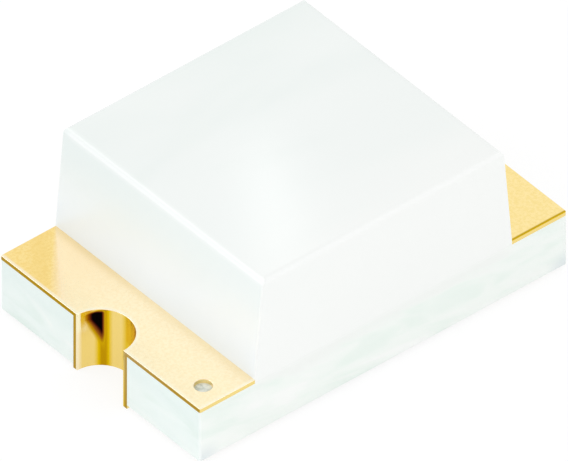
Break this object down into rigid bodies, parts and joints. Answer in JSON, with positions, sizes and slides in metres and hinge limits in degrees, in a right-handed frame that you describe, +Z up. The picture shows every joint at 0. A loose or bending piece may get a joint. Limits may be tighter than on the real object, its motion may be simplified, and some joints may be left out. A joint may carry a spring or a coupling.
{
  "type": "chip light-emitting diode",
  "caption": "Chip light-emitting diode for surface mounting: laminate board with gold-plated wrap-round end pads and a drafted block lens of milky resin over the die.",
  "frame": {"origin": "middle of the underside, in the plane of the solder pads", "axes": "+X along the length, from the end with the polarity hole to the plain end; +Y across the width; +Z up, out of the top of the lens"},
  "size_m": [0.002, 0.0014, 0.0008],
  "materials": {
    "laminate": "satin",
    "gold_plating": "satin",
    "milky_resin": "satin",
    "die_crystal": "gloss",
    "silver_adhesive": "satin",
    "gold_wire": "gloss",
    "solder_resist": "satin"
  },
  "bodies": {
    "root": {"board": "laminate", "marked_terminal": "gold_plating", "plain_terminal": "gold_plating", "lens": "milky_resin", "led_die": "die_crystal", "die_adhesive": "silver_adhesive", "die_top_contact": "gold_wire", "bond_wire": "gold_wire", "solder_resist_bar": "solder_resist"}
  },
  "joints": []
}
